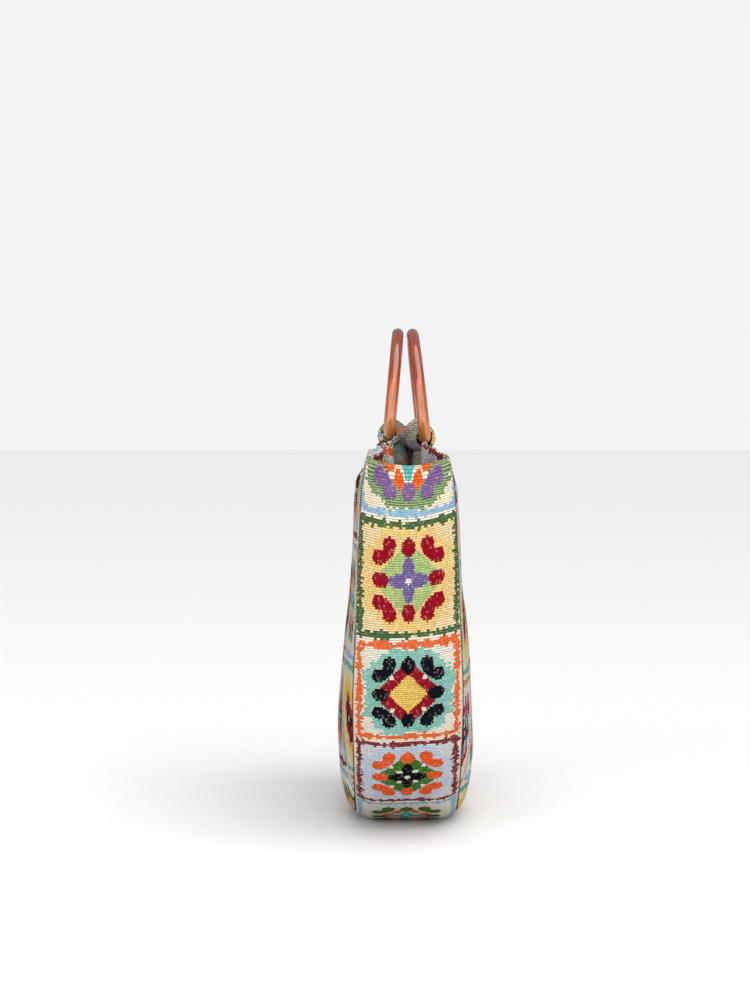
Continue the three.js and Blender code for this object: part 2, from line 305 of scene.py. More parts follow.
def add_thickness(piece, wall):
    """Gives a cloth sheet its wall inwards. The inner face takes the second material."""
    solid = piece.modifiers.new("wall", "SOLIDIFY")
    solid.thickness = wall
    solid.offset = -1
    solid.use_even_offset = False
    solid.material_offset = 1
    solid.material_offset_rim = 0


# Materials.


def node(tree, kind, sockets=(), out=0, **settings):
    """Adds a node with its settings, and links or values for its inputs by number."""
    made = tree.nodes.new("ShaderNode" + kind)
    for key, value in settings.items():
        setattr(made, key, value)
    pairs = sockets.items() if isinstance(sockets, dict) else enumerate(sockets)
    for slot, value in pairs:
        if isinstance(value, bpy.types.NodeSocket):
            tree.links.new(value, made.inputs[slot])
        else:
            made.inputs[slot].default_value = value
    return made.outputs[out]


def new_material(name, settings):
    """A material, its node tree and its shader, with settings by the names of its inputs."""
    material = bpy.data.materials.new(name)
    material.use_nodes = True
    tree = material.node_tree
    shader = next(n for n in tree.nodes if n.type == "BSDF_PRINCIPLED")
    for key, value in settings.items():
        shader.inputs[key].default_value = value
    return material, tree, shader


# The chart of one square, folded onto one eighth of it: m and n are the larger and the smaller
# distance from the square's middle, p and q the same along and across the diagonal, and 1 is
# the edge of the flower. Each shape is an ellipse by its middle and its radii.
FLOWER_SHAPES = (
    ("outer", "mn", (0.750, 0.0), (0.225, 0.180)),
    ("heart", "pq", (0.915, 0.205), (0.185, 0.180)),
    ("heart", "pq", (0.860, 0.0), (0.190, 0.300)),
    ("petal", "mn", (0.540, 0.265), (0.200, 0.145)),
    ("cross", "mn", (0.180, 0.0), (0.360, 0.160)),
    ("dot", "mn", (0.0, 0.0), (0.085, 0.062)),
    ("notch", "pq", (1.060, 0.0), (0.075, 0.050)),
    ("knot", "pq", (0.615, 0.0), (0.075, 0.065)),
    ("eye", "pq", (0.315, 0.0), (0.085, 0.070)),
)
HEART_START = 0.985
INNER_END = 0.945
DIAMOND_END = 0.53
FLOWER_HALF_WIDTH = 31.0
FLOWER_HALF_HEIGHT = 36.0
BORDER_AT = 1.34
BORDER_CORE = 0.044
BORDER_TOOTH = 0.096
BORDER_TOOTH_CURVE = 1.6
BORDER_WANDER = 0.034
SECOND_DRAW = 7.3
RING_OUTSIDE = 1.20
RING_TOOTH = 0.21
RING_TOOTH_UP = RING_TOOTH * 0.7
CORNER_CUT = 0.60
HEIGHT_TO_WIDTH = 1.06
COLOURWAY_COUNT = len(COLOURWAYS["border"])
FILLED, DIAMOND, EYED = 1, 2, 3
PETALLED = (0, 4, 6)
SAME_WAY = 0.2

# Where the cream rib starts, as a share of the way from one rib to the next.
RIB_STARTS = {"ground": 0.47, "ring": 0.72, "border": 0.92}
CROSSING_DEPTH = 0.5


def chart_masks(tree):
    """The woven chart: which yarn shows at a place of the cloth, and the place in its cell."""
    add = partial(node, tree)
    place = add("Attribute", out=1, attribute_type="GEOMETRY", attribute_name=CLOTH_MAP)
    across = add("SeparateXYZ", (place,), out=0)
    along = add("SeparateXYZ", (place,), out=1)
    shift = add("SeparateXYZ", (place,), out=2)

    rows = add("Math", (along, RIB_PITCH), operation="DIVIDE")
    row = add("Math", (rows,), operation="FLOOR")
    phase = add("Math", (rows, row), operation="SUBTRACT")
    odd = add("Math", (row, 2.0), operation="FLOORED_MODULO")
    half_odd = add("Math", (odd, 0.5), operation="MULTIPLY")
    columns = add("Math", (across, 1 / CELL_WIDTH, half_odd), operation="MULTIPLY_ADD")
    column = add("Math", (columns,), operation="FLOOR")
    cell_phase = add("Math", (columns, column), operation="SUBTRACT")
    centred = add("Math", (column, half_odd), operation="SUBTRACT")
    cell_x = add("Math", (centred, CELL_WIDTH, CELL_WIDTH / 2), operation="MULTIPLY_ADD")
    cell_y = add("Math", (row, RIB_PITCH, RIB_PITCH / 2), operation="MULTIPLY_ADD")

    # The square, the side of its middle, and the distance from it in halves of the flower.
    places = []
    for cell, size, half in ((cell_x, SQUARE_WIDTH, FLOWER_HALF_WIDTH),
                             (cell_y, SQUARE_HEIGHT, FLOWER_HALF_HEIGHT)):
        squares = add("Math", (cell, 1 / size, 0.5), operation="MULTIPLY_ADD")
        square = add("Math", (squares,), operation="FLOOR")
        offset = add("Math", (cell, size / 2, -size / 2), operation="WRAP")
        side = add("Math", (offset, 0.0), operation="GREATER_THAN")
        far = add("Math", (offset,), operation="ABSOLUTE")
        places.append((square, side, add("Math", (far, half), operation="DIVIDE")))
    (square_x, side_x, size_x), (square_y, side_y, size_y) = places
    order = add("Math", (square_x, 2.0, square_y), operation="MULTIPLY_ADD")
    order = add("Math", (order, shift), operation="ADD")
    colourway = add("Math", (order, COLOURWAY_COUNT), operation="FLOORED_MODULO")
    share = 1 / COLOURWAY_COUNT
    pick = add("Math", (colourway, share, share / 2), operation="MULTIPLY_ADD")

    m = add("Math", (size_x, size_y), operation="MAXIMUM")
    n = add("Math", (size_x, size_y), operation="MINIMUM")
    total = add("Math", (m, n), operation="ADD")
    apart = add("Math", (m, n), operation="SUBTRACT")
    p = add("Math", (total, math.sqrt(0.5)), operation="MULTIPLY")
    q = add("Math", (apart, math.sqrt(0.5)), operation="MULTIPLY")
    folded = {
        "mn": add("CombineXYZ", (m, n)),
        "pq": add("CombineXYZ", (p, q)),
    }

    masks = {}
    for role, plane, middle, radii in FLOWER_SHAPES:
        scale = (1 / radii[0], 1 / radii[1], 0)
        start = (-middle[0] / radii[0], -middle[1] / radii[1], 0)
        placed = add("VectorMath", (folded[plane], scale, start), operation="MULTIPLY_ADD")
        reach = add("VectorMath", (placed,), out=1, operation="LENGTH")
        inside = add("Math", (reach, 1.0), operation="LESS_THAN")
        if role in masks:
            inside = add("Math", (masks[role], inside), operation="MAXIMUM")
        masks[role] = inside

    # Hearts stop short of the inner flower. One colourway has a diamond in place of the cross,
    # one has four eyes round it, one has no knots, and some have inner petals set on cream.
    far = add("Math", (total, HEART_START), operation="GREATER_THAN")
    heart = add("Math", (masks["heart"], far), operation="MULTIPLY")
    heart = add("Math", (heart, masks["notch"]), operation="SUBTRACT", use_clamp=True)
    masks["outer"] = add("Math", (masks["outer"], heart), operation="MAXIMUM")
    masks["inner"] = add("Math", (total, INNER_END), operation="LESS_THAN")
    is_way = {}
    for way in (FILLED, DIAMOND, EYED, *PETALLED):
        is_way[way] = add("Math", (colourway, way, SAME_WAY), operation="COMPARE")
    open_way = 0.0
    for way in PETALLED:
        open_way = add("Math", (open_way, is_way[way]), operation="MAXIMUM")
    beside = add("Math", (masks["inner"], masks["petal"]), operation="SUBTRACT", use_clamp=True)
    masks["open"] = add("Math", (beside, open_way), operation="MULTIPLY")
    diamond = add("Math", (total, DIAMOND_END), operation="LESS_THAN")
    diamond = add("Math", (diamond, is_way[DIAMOND]), operation="MULTIPLY")
    cross = (masks["cross"], is_way[DIAMOND])
    cross = add("Math", cross, operation="SUBTRACT", use_clamp=True)
    masks["centre"] = add("Math", (cross, diamond), operation="MAXIMUM")
    knots = add("Math", (masks["knot"], is_way[FILLED]), operation="SUBTRACT", use_clamp=True)
    eyes = add("Math", (masks["eye"], is_way[EYED]), operation="MULTIPLY")
    dots = add("Math", (masks["dot"], is_way[DIAMOND]), operation="SUBTRACT", use_clamp=True)
    spots = add("Math", (knots, eyes), operation="MAXIMUM")
    masks["cream"] = add("Math", (spots, dots), operation="MAXIMUM")

    # The ring and the border are combed: each rib ends a little sooner or later.
    pairs = add("Math", (column, 0.5), operation="MULTIPLY")
    pair = add("Math", (pairs,), operation="FLOOR")
    by_row = add("CombineXYZ", (row, side_x, square_x))
    by_pair = add("CombineXYZ", (pair, side_y, square_y))
    noise_x = add("TexWhiteNoise", (by_row,), noise_dimensions="3D")
    noise_y = add("TexWhiteNoise", (by_pair,), noise_dimensions="3D")
    tall = add("Math", (size_y, HEIGHT_TO_WIDTH), operation="MULTIPLY")
    ragged_x = add("Math", (noise_x, RING_TOOTH, size_x), operation="MULTIPLY_ADD")
    ragged_y = add("Math", (noise_y, RING_TOOTH_UP, tall), operation="MULTIPLY_ADD")
    ragged = add("Math", (ragged_x, ragged_y), operation="MAXIMUM")
    corner = add("Math", (ragged_x, ragged_y), operation="ADD")
    box = add("Math", (ragged, RING_TOOTH / 2), operation="SUBTRACT")
    cut = add("Math", (corner, CORNER_CUT), operation="MULTIPLY")
    round_box = add("Math", (box, cut), operation="MAXIMUM")
    masks["ground"] = add("Math", (box, BORDER_AT), operation="LESS_THAN")
    masks["ring"] = add("Math", (round_box, RING_OUTSIDE), operation="LESS_THAN")
    at_side = add("Math", (size_x, tall), operation="GREATER_THAN")
    tooth = add("Mix", {0: at_side, 2: noise_y, 3: noise_x})
    few_long = add("Math", (tooth, BORDER_TOOTH_CURVE), operation="POWER")
    reach = add("Math", (few_long, BORDER_TOOTH, BORDER_CORE), operation="MULTIPLY_ADD")
    later = add("Math", (tooth, SECOND_DRAW), operation="MULTIPLY")
    later = add("Math", (later,), operation="FRACT")
    outside = add("Math", (size_x, tall), operation="MAXIMUM")
    wander = add("Math", (later, BORDER_WANDER, outside), operation="MULTIPLY_ADD")
    border = (wander, BORDER_AT + BORDER_WANDER / 2, reach)
    masks["border"] = add("Math", border, operation="COMPARE")
    return masks, pick, phase, cell_phase, row, column


def yarn_colour(tree, pick, role):
    """A role's colour in the colourway that the square has."""
    made = tree.nodes.new("ShaderNodeValToRGB")
    ramp = made.color_ramp
    ramp.interpolation = "CONSTANT"
    for i, code in enumerate(COLOURWAYS[role]):
        stop = ramp.elements[i] if i < 2 else ramp.elements.new(i / COLOURWAY_COUNT)
        stop.position = i / COLOURWAY_COUNT
        stop.color = linear(code)
    tree.links.new(pick, made.inputs[0])
    return made.outputs[0]


def woven_cloth(name, reverse):
    """Jacquard cotton, woven with a ribbed face: matt, with thick cream ribs between which the
    coloured yarn shows. Its reverse has the same figures, blurred by long loose yarns."""
    settings = {"Roughness": 0.95, "Specular IOR Level": 0.02}
    material, tree, shader = new_material(name, settings)
    add = partial(node, tree)
    masks, pick, phase, cell_phase, row, column = chart_masks(tree)
    cell = add("CombineXYZ", (row, column, 3.0))
    uneven = add("TexWhiteNoise", (cell,), noise_dimensions="3D")
    creams = {0: uneven, 6: linear(CREAM), 7: linear(CREAM_SHADE)}
    cream = add("Mix", creams, out=2, data_type="RGBA")
    yarns = {role: yarn_colour(tree, pick, role) for role in COLOURWAYS}

    # Cream ribs lie over the coloured ones: wide over the ground, narrow over ring and border.
    ribbed = {}
    for role, start in RIB_STARTS.items():
        rib = add("Math", (phase, start), operation="GREATER_THAN")
        mix = {0: rib, 6: yarns[role], 7: cream}
        ribbed[role] = add("Mix", mix, out=2, data_type="RGBA")

    fleck = add("MapRange", (uneven, 0.84, 0.98, 0.0, 0.16))
    # Painted shade: the casing's inner side and its hem, inside the mouth, are greyed.
    painted_shade = add("Attribute", out=2, attribute_type="GEOMETRY", attribute_name=MOUTH_SHADE_MAP)
    layers = (
        (masks["ground"], ribbed["ground"]),
        (masks["ring"], ribbed["ring"]),
        (masks["border"], ribbed["border"]),
        (masks["inner"], yarns["inner"]),
        (masks["open"], cream),
        (masks["outer"], yarns["outer"]),
        (masks["centre"], yarns["centre"]),
        (fleck, cream),
        (masks["cream"], cream),
        (painted_shade, linear(MOUTH_SHADE_GREY)),
    )
    colour = cream
    for mask, top in layers:
        colour = add("Mix", {0: mask, 6: colour, 7: top}, out=2, data_type="RGBA")

    # The ribs and the yarn's crossings shade themselves, and no two yarns are quite alike.
    turn = 2 * math.pi
    rib_turn = add("Math", (phase, turn), operation="MULTIPLY")
    cell_turn = add("Math", (cell_phase, turn), operation="MULTIPLY")
    rib = add("Math", (rib_turn,), operation="COSINE")
    crossing = add("Math", (cell_turn,), operation="COSINE")
    depth = add("Math", (crossing, CROSSING_DEPTH, rib), operation="MULTIPLY_ADD")
    deepest = 1 + CROSSING_DEPTH
    shade = add("MapRange", (depth, -deepest, deepest, 1.16, 0.36))
    tint = add("Math", (uneven, 0.34, 0.80), operation="MULTIPLY_ADD")
    for factor in (shade, tint):
        mix = {0: 1.0, 6: colour, 7: factor}
        colour = add("Mix", mix, out=2, data_type="RGBA", blend_type="MULTIPLY")
    # Painted shade in the creases where the cloth turns into the seams.
    seam = add("Attribute", out=2, attribute_type="GEOMETRY", attribute_name=SEAM_MAP)
    crease_shade = add("MapRange", (seam, 0.3, 1.9, 0.75, 0.0))
    mix = {0: crease_shade, 6: colour, 7: linear(SEAM_SHADE)}
    colour = add("Mix", mix, out=2, data_type="RGBA")
    if reverse:
        mix = {0: 0.50, 6: colour, 7: linear(REVERSE_YARN)}
        colour = add("Mix", mix, out=2, data_type="RGBA")
    tree.links.new(colour, shader.inputs["Base Color"])
    fuzz = add("TexNoise", {2: 900.0, 3: 3.0}, noise_dimensions="3D")
    hollow = add("Math", (depth, -0.5), operation="MULTIPLY")
    height = add("Math", (fuzz, 0.5, hollow), operation="MULTIPLY_ADD")
    bump = add("Bump", {0: 0.5, 1: 0.0006, 3: height})
    tree.links.new(bump, shader.inputs["Normal"])
    return material


ROD_MAP = "rod_mm"
ROD_RISE = "rod_rise"


def lacquered_wood():
    """Stained beech, bent and dipped in clear lacquer: fine grain along the rod, paler near the bar
    with a painted reflection of the cloth, under a hard glossy coat that mirrors the studio."""
    material, tree, shader = new_material("lacquered_beech", {
        "Roughness": 0.45,
        "Specular IOR Level": 0.25,
        "Coat Weight": 1.0,
        "Coat IOR": 1.8,
        "Coat Roughness": 0.07,
    })
    place = node(tree, "Attribute", out=1, attribute_type="GEOMETRY", attribute_name=ROD_MAP)
    rise = node(tree, "Attribute", out=2, attribute_type="GEOMETRY", attribute_name=ROD_RISE)
    long_grain = node(tree, "VectorMath", (place, (0.03, 1.0, 1.0)), operation="MULTIPLY")
    grain = node(tree, "TexNoise", {0: long_grain, 2: 1.0, 3: 6.0, 4: 0.62}, noise_dimensions="3D")
    short_grain = node(tree, "VectorMath", (place, (0.12, 4.0, 4.0)), operation="MULTIPLY")
    pores = node(tree, "TexNoise", {0: short_grain, 2: 1.6, 3: 3.0}, noise_dimensions="3D")
    # Painted reflection of the cloth: the stain grows paler toward the bar.
    cloth_reflection = node(tree, "MapRange", (rise, 8.0, 60.0, 0.20, 0.0))
    stain = tree.nodes.new("ShaderNodeValToRGB")
    ramp = stain.color_ramp
    ramp.elements[0].position = 0.30
    ramp.elements[0].color = linear("#4e1206")
    ramp.elements[1].position = 0.52
    ramp.elements[1].color = linear("#a63a12")
    ramp.elements.new(0.80).color = linear("#de8842")
    tree.links.new(node(tree, "Math", (grain, cloth_reflection), operation="ADD"), stain.inputs[0])
    dark = node(tree, "MapRange", (pores, 0.35, 0.6, 0.70, 1.0))
    mix = {0: 1.0, 6: stain.outputs[0], 7: dark}
    colour = node(tree, "Mix", mix, out=2, data_type="RGBA", blend_type="MULTIPLY")
    tree.links.new(colour, shader.inputs["Base Color"])
    bump = node(tree, "Bump", {0: 0.05, 1: 0.0002, 3: grain})
    tree.links.new(bump, shader.inputs["Normal"])
    return material


def sewing_thread(name, colour):
    """Spun polyester thread: a soft low shine and a tight twist."""
    settings = {"Base Color": colour, "Roughness": 0.6}
    material, tree, shader = new_material(name, settings)
    twist = node(tree, "TexWave", {0: node(tree, "TexCoord", out=3), 1: 900.0}, out=1,
                 wave_type="BANDS", bands_direction="DIAGONAL")
    bump = node(tree, "Bump", {0: 0.4, 1: 0.0002, 3: twist})
    tree.links.new(bump, shader.inputs["Normal"])
    return material


def studio_paper():
    """Matt white studio paper, rolled and hung, which gives an even pale ground."""
    material, tree, shader = new_material("studio_paper", {"Roughness": 0.95})
    grain = node(tree, "TexNoise", {0: node(tree, "TexCoord", out=3), 2: 60.0, 3: 2.0})
    tone = node(tree, "MapRange", (grain, 0.3, 0.7, 0.88, 0.90))
    tree.links.new(tone, shader.inputs["Base Color"])
    return material


# Cloth.


def bar_at(side, x):
    """The bar's distance from the bag's middle plane and its height, at a place along it."""
    bar = BARS[side]
    return bar["offset"], bar["level"] + x * bar["rise"]


GATHER_PITCH = CASING_HALF * 2 / 4
PLEAT_PITCH = CASING_HALF * 2 / 11
RUFFLE_PITCH = 46
SIDE_SEEDS = {"front": 5.0, "back": 9.0}

# How far the casing's cloth stands off or is drawn in: between pleats over and under the rod,
# beside a large fold inside the mouth, and on the crest of one.
VALLEY_DEPTH = 1.6
LOW_VALLEY_DEPTH = 2.6
PINCH_DEPTH = 3.6
PINCH_TIGHTNESS = 0.4
RUFFLE_OUT = 9
RUFFLE_OUT_LOW = 4.5
CREST_RISE = 5.5
CREST_ANGLE = 1.9
CASING_END_REACH = 9
CASING_END_FADE = 8


def pleat_at(x, seed):
    """The small uneven pleats that the casing's draw makes, between -1 and 1."""
    drift = 3.2 * noise.noise(Vector((x / 21, seed, 0.4)))
    return math.cos(2 * math.pi * (x + drift) / PLEAT_PITCH)


def ruffle_at(side, x):
    """How far the large folds inside the mouth stand out, from 0 to 1. Those of the two sides
    stand between each other."""
    phase = 0 if side == "front" else 0.5
    wave = 0.5 + 0.5 * math.cos(2 * math.pi * (x / RUFFLE_PITCH + phase))
    return wave**1.3 * smooth_step((CASING_HALF + 1 - abs(x)) / 11)


def casing_point(side, x, angle, under=0.0):
    """A place on the casing's outside, or on its hem at a distance under the sewn line. The
    valleys between the pleats are drawn close round the rod, except at the casing's ends."""
    sign = BARS[side]["sign"]
    offset, level = bar_at(side, x)
    seed = SIDE_SEEDS[side]
    low = max(-math.sin(angle), 0) ** 2
    ruffle = ruffle_at(side, x)
    pleat = pleat_at(x, seed)
    valley = (0.5 - 0.5 * pleat) ** 2
    drawn = 1 - 0.75 * smooth_step((abs(x) - CASING_HALF + CASING_END_REACH) / CASING_END_FADE)
    tail = 1 + CASING_TAIL * low**2
    slack = 0.5 * pleat + 0.9 * noise.noise(Vector((x / 16, angle * 1.2, seed)))
    inner = smooth_step((angle - math.pi / 2) / (math.pi * 0.55))
    deep = VALLEY_DEPTH + LOW_VALLEY_DEPTH * low
    radius = CASING_RADIUS * tail + slack * (1 - low) - deep * valley * drawn
    pinch = smooth_step((angle - math.pi / 2) / (math.pi * 0.3)) * (1 - ruffle) ** 2
    pinch *= smooth_step((CASING_HALF - CASING_END_REACH - abs(x)) / CASING_END_FADE)
    closest = ROD_RADIUS + WALL + ROD_CLEARANCE - PINCH_TIGHTNESS * pinch
    radius = max(radius - PINCH_DEPTH * pinch, closest)
    crest = math.exp(-((angle - CREST_ANGLE) / 0.75) ** 2)
    spread = under / CASING_HEM
    out = (RUFFLE_OUT + RUFFLE_OUT_LOW * inner) * inner * ruffle
    y = offset + radius * math.cos(angle) - out
    y -= (0.5 + 3.5 * ruffle) * spread
    lift = (CREST_RISE * ruffle + 0.9 * pleat) * crest
    z = level + radius * math.sin(angle) + lift - under
    return Vector((x, sign * y, z))


EDGE_RISE = 3.5
EDGE_SWING = 2.5
EDGE_WAVE = 8.5
HEM_END = 5


def top_edge_at(side, x):
    """A panel's top edge: its distance from the middle plane and its height."""
    inside = max(min(x, CASING_HALF), -CASING_HALF)
    start = casing_point(side, inside, CASING_START)
    out = smooth_step((abs(x) - CASING_HALF) / (SEAM_REACH - CASING_HALF))
    end_half = STRIP_WIDTH / 2 * STRIP_SECTIONS[-1][1]
    level = start.z + (SIDE_TOP - start.z) * out**1.6
    beside = smooth_step((abs(x) - CASING_HALF) / 30) * (1 - out)
    level += beside * (EDGE_RISE + EDGE_SWING * math.sin(x / EDGE_WAVE + SIDE_SEEDS[side]))
    return abs(start.y) + (end_half - abs(start.y)) * out**1.2, level


def corner_rise(share, from_top):
    """How far the mouth's corners stand up, by the share across a piece and the length from
    its top."""
    return TOP_CORNER * abs(share) ** TOP_CORNER_CURVE * smooth_step(1 - from_top / TOP_REACH)


# The folds of the panels, and how deep under the top edge each kind has faded.
LARGE_FOLD = 2.0
LARGE_FOLD_SINK = 1.5
LARGE_FOLD_FADE = 56
SMALL_FOLD = 1.9
SMALL_FOLD_SINK = 0.6
SMALL_FOLD_FADE = 26
PUFF = 1.5
FREE_WAVE = 3.0
FREE_WAVE_PITCH = 48
FREE_WAVE_FADE = 26
FOLD_SPREAD = 130


def fold_at(side, x, depth):
    """How far gathers and folds move a panel's cloth outwards, by place and depth."""
    seed = SIDE_SEEDS[side]
    spread = 1 + depth / FOLD_SPREAD
    along = x / spread
    gathered = 1 - smooth_step((abs(along) - CASING_HALF) / GATHER_PITCH)
    large = LARGE_FOLD * math.cos(2 * math.pi * along / GATHER_PITCH) - LARGE_FOLD_SINK
    large *= math.exp(-((depth / LARGE_FOLD_FADE) ** 2))
    chance = 0.5 + 0.5 * noise.noise(Vector((along / 9, seed, 2.0)))
    reach = SMALL_FOLD_FADE + SMALL_FOLD_FADE * chance
    small = SMALL_FOLD * pleat_at(along, seed) - SMALL_FOLD_SINK
    small *= math.exp(-((depth / reach) ** 2))
    beside = abs(x) - CASING_HALF
    puff = PUFF * math.exp(-(((beside + 2) / 13) ** 2) - ((depth - 9) / 11) ** 2)
    wave = FREE_WAVE * smooth_step(beside / FREE_WAVE_PITCH)
    wave *= math.sin(2 * math.pi * beside / FREE_WAVE_PITCH)
    wave *= math.exp(-((depth / FREE_WAVE_FADE) ** 2))
    start = smooth_step(depth / 5)
    return (gathered * (large + small) + puff) * start + wave


# Softness: slow uneven swells of the cloth. Crowding: how the gathers draw the pattern in.
PANEL_ROUNDNESS = 2.6
PANEL_SOFTNESS = 1.3
PANEL_ROW_GAIN = 12
CROWDING = 0.6
CROWDING_FADE = 70


def panel_point(side, share, rise):
    """A place on a panel's outside, by its share across and its rise up the seam."""
    sign = BARS[side]["sign"]
    section = section_at(FLAT_HALF + (OUTLINE_LENGTH - FLAT_HALF) * rise)
    seam = section["seam"]
    x = share * seam.x
    edge_offset, edge_level = top_edge_at(side, x)
    lift = smooth_step((seam.y / SIDE_TOP - LIFT_START) / (1 - LIFT_START))
    z = seam.y + (edge_level - SIDE_TOP) * lift
    depth = max(edge_level - z, 0)
    z += corner_rise(share, (OUTLINE_LENGTH - FLAT_HALF) * (1 - rise))
    level = (seam.y - BOTTOM_SEAM) / (SIDE_TOP - BOTTOM_SEAM)
    belly = PANEL_BULGE * column_at(BELLY_SECTIONS, 1, level)
    body = section["half"] + belly * (1 - abs(share) ** PANEL_ROUNDNESS)
    out = smooth_step((abs(x) - CASING_HALF) / (SEAM_REACH - CASING_HALF))
    neck = edge_offset + (section["half"] - STRIP_WIDTH / 2 * STRIP_SECTIONS[-1][1]) * out
    drawn = math.sin(math.pi / 2 * clamp01(depth / NECK_DROP)) ** NECK_CURVE
    calm = 1 - abs(share) ** 8
    soft = PANEL_SOFTNESS * noise.noise(Vector((x / 55, z / 60, 3.0 * sign)))
    soft *= calm * smooth_step(level / 0.1)
    offset = neck + (body - neck) * drawn + fold_at(side, x, depth) * calm + soft * drawn
    # Into the seam at the sides and the bottom.
    beside = (1 - abs(share)) * seam.x
    below = (OUTLINE_LENGTH - FLAT_HALF) * rise
    roll = seam_roll(min(beside, below))
    inwards = section["facing"] * roll
    offset -= roll * SEAM_INWARDS
    crowded = CROWDING * math.exp(-((depth / CROWDING_FADE) ** 2))
    stretch = crowded * CASING_HALF * math.tanh(x / CASING_HALF)
    row = SIDE_TOP - z - PANEL_ROW_GAIN * (1 - drawn) - PANEL_ROW_OFFSETS[side]
    pattern = Vector((x * PANEL_COLUMN_RATE + stretch, row, PANEL_SHIFTS[side]))
    spot = Vector((x - math.copysign(inwards.x, share), sign * offset, z - inwards.y))
    return spot, pattern, min(beside, below), 0.0


# The rows of the side strip's pattern, by the length from its top: they sag in the middle, most
# near the top, and climb to the back. They lie a little closer together lower down.
ROW_START = 1.35
ROW_RATE = 0.953
ROW_CREEP = 0.000255
ROW_SAG = 2.4
ROW_TOP_SAG = 8.0
ROW_TOP_SAG_AT = 35
ROW_TOP_SAG_FADE = 75
ROW_SLANT = 6.0
ROW_SLANT_START = 80
STRIP_SOFTNESS = 0.9
STRIP_SOFT_START = 30
STRIP_END_REACH = 14


def row_at(along):
    """The pattern's row at a length from the strip's near top, along its middle line."""
    if along > OUTLINE_LENGTH:
        return 2 * row_at(OUTLINE_LENGTH) - row_at(2 * OUTLINE_LENGTH - along)
    return ROW_START + ROW_RATE * along + ROW_CREEP * along**2


def strip_point(along, across):
    """A place on the side strip, by its length from the near top and its share across."""
    length = OUTLINE_LENGTH - along
    side = 1 if length >= 0 else -1
    section = section_at(abs(length))
    roundness = clamp01((abs(across) - section["flat"]) / (1 - section["flat"]))
    drop = section["bulge"] * roundness**2
    calm = 1 - abs(across) ** 6
    soft = STRIP_SOFTNESS * noise.noise(Vector((across * 1.6, along / 45, 8.0))) * calm
    soft *= clamp01((abs(length) - FLAT_HALF) / STRIP_SOFT_START)
    edge = (1 - abs(across)) * section["half"]
    roll = seam_roll(edge)
    place = section["middle"] - section["facing"] * (drop + roll - soft)
    top = 1 - smooth_step((OUTLINE_LENGTH - abs(length)) / STRIP_END_REACH)
    place.y += (SIDE_TOP - section["middle"].y + section["facing"].y * drop) * top
    y = math.copysign(abs(across) * section["half"] - roll * SEAM_INWARDS, across)
    from_top = min(along, 2 * OUTLINE_LENGTH - along)
    dip = TOP_DIP * (1 - across**2) ** 2 * smooth_step(1 - from_top / TOP_REACH)
    rise = corner_rise(across, from_top) - dip
    place.y += rise
    beside = section["half"] * (1 - section["flat"])
    arc = abs(across) * section["half"] + 2 / 3 * drop * section["bulge"] * roundness / beside
    near_top = math.exp(-(((from_top - ROW_TOP_SAG_AT) / ROW_TOP_SAG_FADE) ** 2))
    sag = ROW_SAG + ROW_TOP_SAG * near_top
    slant = ROW_SLANT * (1 - math.exp(-along / ROW_SLANT_START)) * across / 2
    row = row_at(along) + sag * across**2 + slant
    row -= rise if length >= 0 else -rise
    pattern = Vector((math.copysign(arc, across), row, 0))
    return Vector((side * place.x, y, place.y)), pattern, edge, 0.0


def shape_grid(across_spans, along_spans, place):
    """A grid put in place by place(s, t): spot, pattern, distance to a seam, and painted shade."""
    bm = bmesh.new()
    layer = bm.verts.layers.float_vector.new(CLOTH_MAP)
    seam_layer = bm.verts.layers.float.new(SEAM_MAP)
    shade_layer = bm.verts.layers.float.new(MOUTH_SHADE_MAP)
    bmesh.ops.create_grid(bm, x_segments=across_spans, y_segments=along_spans, size=1)
    for vert in bm.verts:
        spot, pattern, seam, painted_shade = place((vert.co.x + 1) / 2, (vert.co.y + 1) / 2)
        vert.co = spot * MM
        vert[layer] = pattern
        vert[seam_layer] = seam
        vert[shade_layer] = painted_shade
    return bm


def mesh_of(bm, name):
    mesh = bpy.data.meshes.new(name)
    bm.to_mesh(mesh)
    bm.free()
    return mesh


def point_outwards(bm, probe):
    """Turns a sheet's faces so that the one nearest to probe faces away from the bag's middle."""
    bm.normal_update()
    nearest = min(bm.faces, key=lambda face: (face.calc_center_median() - probe).length)
    if nearest.normal.dot(Vector((probe.x, probe.y, 0))) < 0:
        bmesh.ops.reverse_faces(bm, faces=bm.faces[:])


CASING_SPANS = 96
FREE_SPANS = 60
EDGE_SPANS = 8
PANEL_ROWS = 116


def panel_share(s):
    """The share across a panel at a grid place: the casing has its own even columns."""
    column = s * (CASING_SPANS + 2 * FREE_SPANS)
    casing = CASING_HALF / SEAM_REACH
    hem = 1 - HEM_END / SEAM_REACH
    beyond = abs(column - FREE_SPANS - CASING_SPANS / 2) - CASING_SPANS / 2
    if beyond > 0:
        reach = casing + (hem - casing) * beyond / (FREE_SPANS - EDGE_SPANS)
        if beyond > FREE_SPANS - EDGE_SPANS:
            reach = hem + (1 - hem) * (beyond - FREE_SPANS + EDGE_SPANS) / EDGE_SPANS
        return math.copysign(reach, s - 0.5)
    return casing * (2 * (column - FREE_SPANS) / CASING_SPANS - 1)


